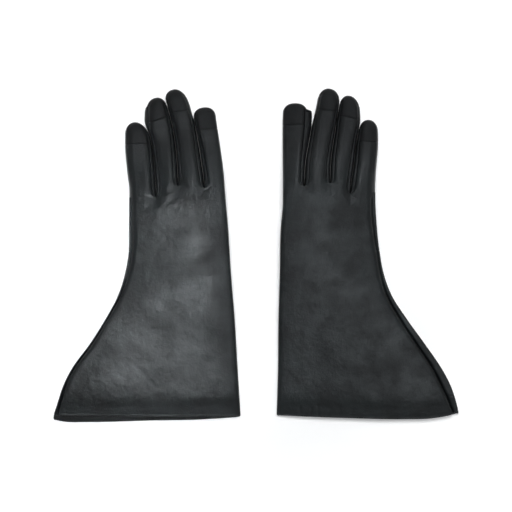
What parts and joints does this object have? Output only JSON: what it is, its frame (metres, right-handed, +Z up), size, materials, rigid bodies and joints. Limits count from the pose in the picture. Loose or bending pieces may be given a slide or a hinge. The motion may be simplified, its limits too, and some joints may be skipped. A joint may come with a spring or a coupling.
{
  "type": "pair of leather gloves",
  "caption": "Pair of long leather gauntlet gloves lying flat: flared cuffs, sewn finger side strips and fingertip panels, thumbs folded under the palms.",
  "frame": {"origin": "on the table, under the middle of the pair", "axes": "+X across the pair from the left glove to the right glove, +Y from the hems towards the fingertips, +Z up from the table to the backs of the hands"},
  "size_m": [0.3654, 0.3021, 0.0191],
  "materials": {
    "shell_leather": "smooth semi-matte black nappa",
    "tip_leather": "smooth matt black nappa",
    "fourchette_leather": "smooth semi-matte black nappa",
    "hem_leather": "turned-up black nappa"
  },
  "bodies": {
    "left_hand": {"left_trank": "shell_leather", "left_side_strip_hand": "shell_leather", "left_side_strip_cuff": "shell_leather", "left_hem_facing": "hem_leather"},
    "left_thumb": {"left_thumb_outer": "shell_leather", "left_thumb_inner": "shell_leather"},
    "left_index": {"left_index_wrap": "shell_leather", "left_index_tip": "tip_leather", "left_index_fourchette": "fourchette_leather"},
    "left_middle": {"left_middle_back": "shell_leather", "left_middle_palm": "shell_leather", "left_middle_tip": "tip_leather", "left_middle_fourchette_index_side": "fourchette_leather", "left_middle_fourchette_ring_side": "fourchette_leather"},
    "left_ring": {"left_ring_back": "shell_leather", "left_ring_palm": "shell_leather", "left_ring_tip": "tip_leather", "left_ring_fourchette_middle_side": "fourchette_leather", "left_ring_fourchette_little_side": "fourchette_leather"},
    "left_little": {"left_little_back": "shell_leather", "left_little_palm": "shell_leather", "left_little_tip": "tip_leather", "left_little_fourchette": "fourchette_leather"},
    "right_hand": {"right_trank": "shell_leather", "right_side_strip_hand": "shell_leather", "right_side_strip_cuff": "shell_leather", "right_hem_facing": "hem_leather"},
    "right_thumb": {"right_thumb_outer": "shell_leather", "right_thumb_inner": "shell_leather"},
    "right_index": {"right_index_wrap": "shell_leather", "right_index_tip": "tip_leather", "right_index_fourchette": "fourchette_leather"},
    "right_middle": {"right_middle_back": "shell_leather", "right_middle_palm": "shell_leather", "right_middle_tip": "tip_leather", "right_middle_fourchette_index_side": "fourchette_leather", "right_middle_fourchette_ring_side": "fourchette_leather"},
    "right_ring": {"right_ring_back": "shell_leather", "right_ring_palm": "shell_leather", "right_ring_tip": "tip_leather", "right_ring_fourchette_middle_side": "fourchette_leather", "right_ring_fourchette_little_side": "fourchette_leather"},
    "right_little": {"right_little_back": "shell_leather", "right_little_palm": "shell_leather", "right_little_tip": "tip_leather", "right_little_fourchette": "fourchette_leather"}
  },
  "joints": [
    {"name": "left_index_lift", "type": "hinge", "parent": "left_hand", "child": "left_index", "pos_m": [-0.04057, 0.06045, 0.0193], "axis": [0.992, 0.1262, 0], "range_deg": [0, 90]},
    {"name": "left_middle_lift", "type": "hinge", "parent": "left_hand", "child": "left_middle", "pos_m": [-0.06162, 0.06265, 0.0193], "axis": [0.992, 0.1262, 0], "range_deg": [0, 90]},
    {"name": "left_ring_lift", "type": "hinge", "parent": "left_hand", "child": "left_ring", "pos_m": [-0.08297, 0.05895, 0.0193], "axis": [0.992, 0.1262, 0], "range_deg": [0, 90]},
    {"name": "left_little_lift", "type": "hinge", "parent": "left_hand", "child": "left_little", "pos_m": [-0.10375, 0.05295, 0.01609], "axis": [0.992, 0.1262, 0], "range_deg": [0, 90]},
    {"name": "left_thumb_swing", "type": "hinge", "parent": "left_hand", "child": "left_thumb", "pos_m": [-0.04439, -0.01655, 0.0037], "axis": [0, 0, -1], "range_deg": [0, 85]},
    {"name": "right_glove_slide", "type": "slide", "parent": "left_hand", "child": "right_hand", "axis": [1, 0, 0], "range_m": [0, 0.1]},
    {"name": "right_index_lift", "type": "hinge", "parent": "right_hand", "child": "right_index", "pos_m": [0.03192, 0.06045, 0.0193], "axis": [0.9973, -0.0728, 0], "range_deg": [0, 90]},
    {"name": "right_middle_lift", "type": "hinge", "parent": "right_hand", "child": "right_middle", "pos_m": [0.05288, 0.06265, 0.0193], "axis": [0.9973, -0.0728, 0], "range_deg": [0, 90]},
    {"name": "right_ring_lift", "type": "hinge", "parent": "right_hand", "child": "right_ring", "pos_m": [0.07439, 0.05895, 0.0193], "axis": [0.9973, -0.0728, 0], "range_deg": [0, 90]},
    {"name": "right_little_lift", "type": "hinge", "parent": "right_hand", "child": "right_little", "pos_m": [0.09543, 0.05295, 0.01609], "axis": [0.9973, -0.0728, 0], "range_deg": [0, 90]},
    {"name": "right_thumb_swing", "type": "hinge", "parent": "right_hand", "child": "right_thumb", "pos_m": [0.03911, -0.01655, 0.0037], "axis": [0, 0, 1], "range_deg": [0, 85]}
  ]
}
